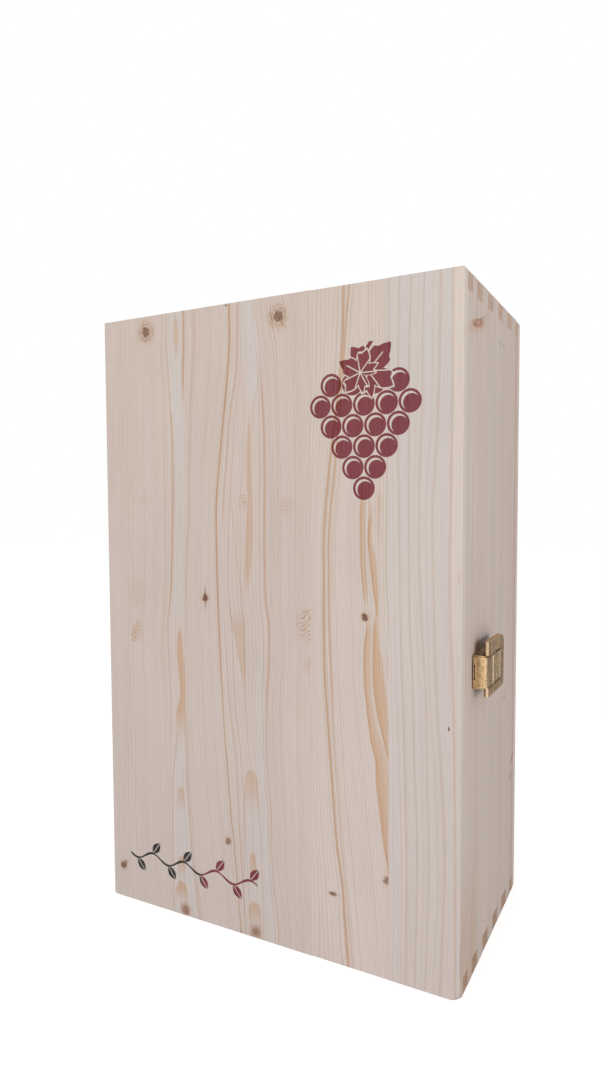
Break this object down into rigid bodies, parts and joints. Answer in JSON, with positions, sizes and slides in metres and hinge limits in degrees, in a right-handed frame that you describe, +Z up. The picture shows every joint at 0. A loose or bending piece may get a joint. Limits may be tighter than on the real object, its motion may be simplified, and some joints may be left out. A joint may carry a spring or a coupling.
{
  "type": "wooden wine box",
  "caption": "Upright spruce wine box with finger-jointed corners, a sawn-off hinged lid at the front, a divider inside and a brass draw latch on its side.",
  "frame": {"origin": "centre of the woodwork's underside, where the box stands on its end", "axes": "+Z up along the height, -Y out of the lid's front face, +X towards the latch, -X towards the hinges"},
  "size_m": [0.2294, 0.124, 0.35],
  "materials": {
    "panel_spruce": "planed, unvarnished",
    "side_spruce": "planed, unvarnished",
    "end_spruce": "planed, unvarnished, end grain at the fingers",
    "brass_sheet": "stamped, brass plated",
    "brass_wire": "drawn, brass plated"
  },
  "bodies": {
    "box": {"wall_left": "side_spruce", "wall_right": "side_spruce", "end_board_top": "end_spruce", "end_board_bottom": "end_spruce", "back_stave_left": "panel_spruce", "back_stave_middle": "panel_spruce", "back_stave_right": "panel_spruce", "divider": "side_spruce", "upper_hinge_box_leaf": "brass_sheet", "upper_hinge_pin": "brass_wire", "lower_hinge_box_leaf": "brass_sheet", "lower_hinge_pin": "brass_wire", "box_hinge_nails": "brass_wire", "latch_base": "brass_sheet", "latch_base_nails": "brass_wire", "lever_pin": "brass_wire"},
    "lid": {"lid_stave_left": "panel_spruce", "lid_stave_middle": "panel_spruce", "lid_stave_right": "panel_spruce", "lid_rim_left": "side_spruce", "lid_rim_right": "side_spruce", "lid_rim_top": "end_spruce", "lid_rim_bottom": "end_spruce", "upper_hinge_lid_leaf": "brass_sheet", "lower_hinge_lid_leaf": "brass_sheet", "lid_hinge_nails": "brass_wire", "keeper": "brass_sheet", "keeper_nails": "brass_wire"},
    "lever": {"latch_lever": "brass_sheet", "strap_pin": "brass_wire"},
    "strap": {"latch_strap": "brass_sheet"}
  },
  "joints": [
    {"name": "lid_hinge", "type": "hinge", "parent": "box", "child": "lid", "pos_m": [-0.1108, -0.04192, 0.175], "axis": [0, 0, -1], "range_deg": [0, 180]},
    {"name": "lever_lift", "type": "hinge", "parent": "box", "child": "lever", "pos_m": [0.1152, -0.0388, 0.158], "axis": [0, 0, -1], "range_deg": [0, 110]},
    {"name": "strap_swing", "type": "hinge", "parent": "lever", "child": "strap", "pos_m": [0.11555, -0.0168, 0.158], "axis": [0, 0, -1], "range_deg": [-110, 0]}
  ],
  "couplings": [
    {"joint": "strap_swing", "follows": "lever_lift", "ratio": -1}
  ]
}
